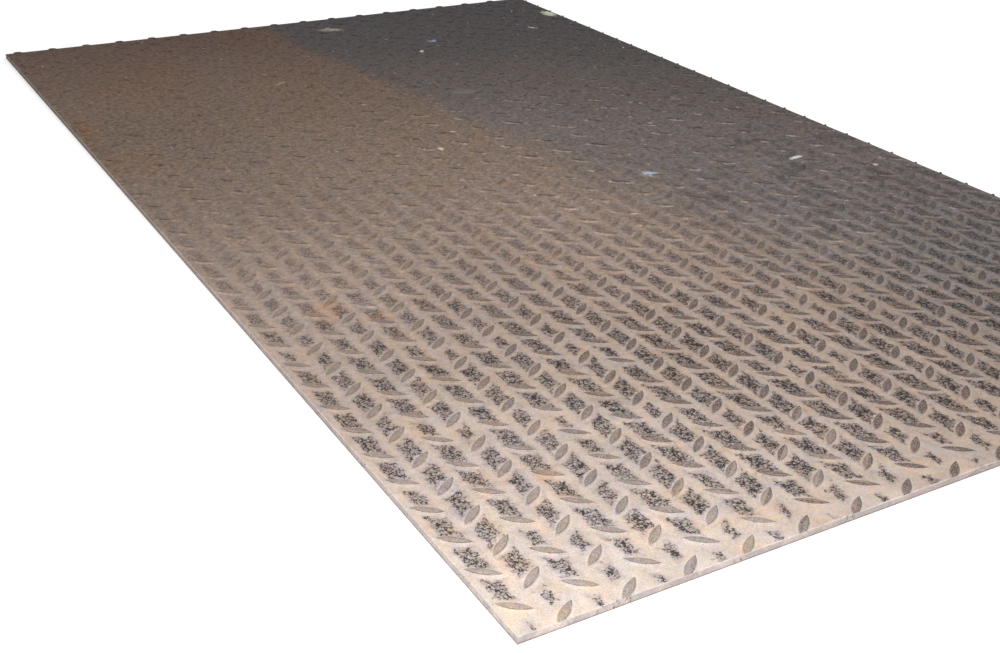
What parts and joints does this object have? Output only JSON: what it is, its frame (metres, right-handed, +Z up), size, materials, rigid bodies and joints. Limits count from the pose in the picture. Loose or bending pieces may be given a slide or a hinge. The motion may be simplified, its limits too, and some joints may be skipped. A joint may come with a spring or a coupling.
{
  "type": "checker steel plate",
  "caption": "Flat rectangular sheet of hot-rolled steel floor plate with a raised pattern of slanting lens-shaped lugs on its upper face and sheared edges.",
  "frame": {"origin": "centre of the flat underside, on the floor", "axes": "+Z up, out of the patterned face; +Y along the sheet's length, the way it was rolled; +X across its width"},
  "size_m": [0.9144, 1.524, 0.0078],
  "materials": {
    "steel": "hot-rolled mill scale under tan dust, dull, lightly rusted"
  },
  "bodies": {
    "root": {"checker_plate": "steel"}
  },
  "joints": []
}
